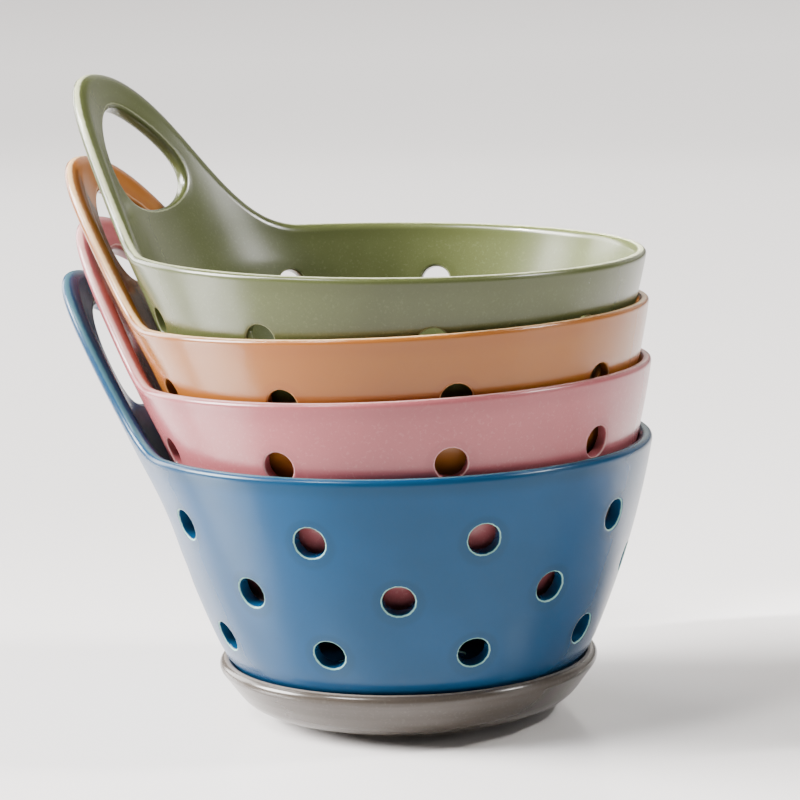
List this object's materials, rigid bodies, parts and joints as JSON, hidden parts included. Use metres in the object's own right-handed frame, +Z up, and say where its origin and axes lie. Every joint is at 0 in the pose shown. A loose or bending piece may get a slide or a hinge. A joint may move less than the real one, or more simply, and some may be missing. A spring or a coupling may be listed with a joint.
{
  "type": "berry colander bowl nest",
  "caption": "Nest of round glazed colander bowls with pierced walls and an upswept loop handle each, standing on a drip saucer.",
  "frame": {"origin": "centre of the saucer's foot ring, on the surface that the nest stands on", "axes": "+Z up out of the bowls; the loop handles point to -X, the blue one exactly and the others turned a few degrees about Z; +Y to the left when looking along -X from the front"},
  "size_m": [0.1876, 0.1554, 0.1994],
  "materials": {
    "grey_glaze": "satin grey-taupe glaze with soft turned bands, bare foot ring",
    "blue_glaze": "gloss blue glaze, thinner and paler round the holes",
    "pink_glaze": "satin-gloss pink glaze with fine speckle",
    "apricot_glaze": "gloss apricot glaze with a paler lip",
    "green_glaze": "semi-gloss sage glaze with fine speckle and paler edges"
  },
  "bodies": {
    "saucer": {"saucer": "grey_glaze"},
    "blue": {"blue_bowl": "blue_glaze"},
    "pink": {"pink_bowl": "pink_glaze"},
    "apricot": {"apricot_bowl": "apricot_glaze"},
    "green": {"green_bowl": "green_glaze"}
  },
  "joints": [
    {"name": "blue_lift", "type": "slide", "parent": "saucer", "child": "blue", "axis": [0, 0, 1], "range_m": [0, 0.03]},
    {"name": "pink_lift", "type": "slide", "parent": "blue", "child": "pink", "axis": [0, 0, 1], "range_m": [0, 0.12]},
    {"name": "apricot_lift", "type": "slide", "parent": "pink", "child": "apricot", "axis": [0, 0, 1], "range_m": [0, 0.12]},
    {"name": "green_lift", "type": "slide", "parent": "apricot", "child": "green", "axis": [0, 0, 1], "range_m": [0, 0.12]}
  ]
}
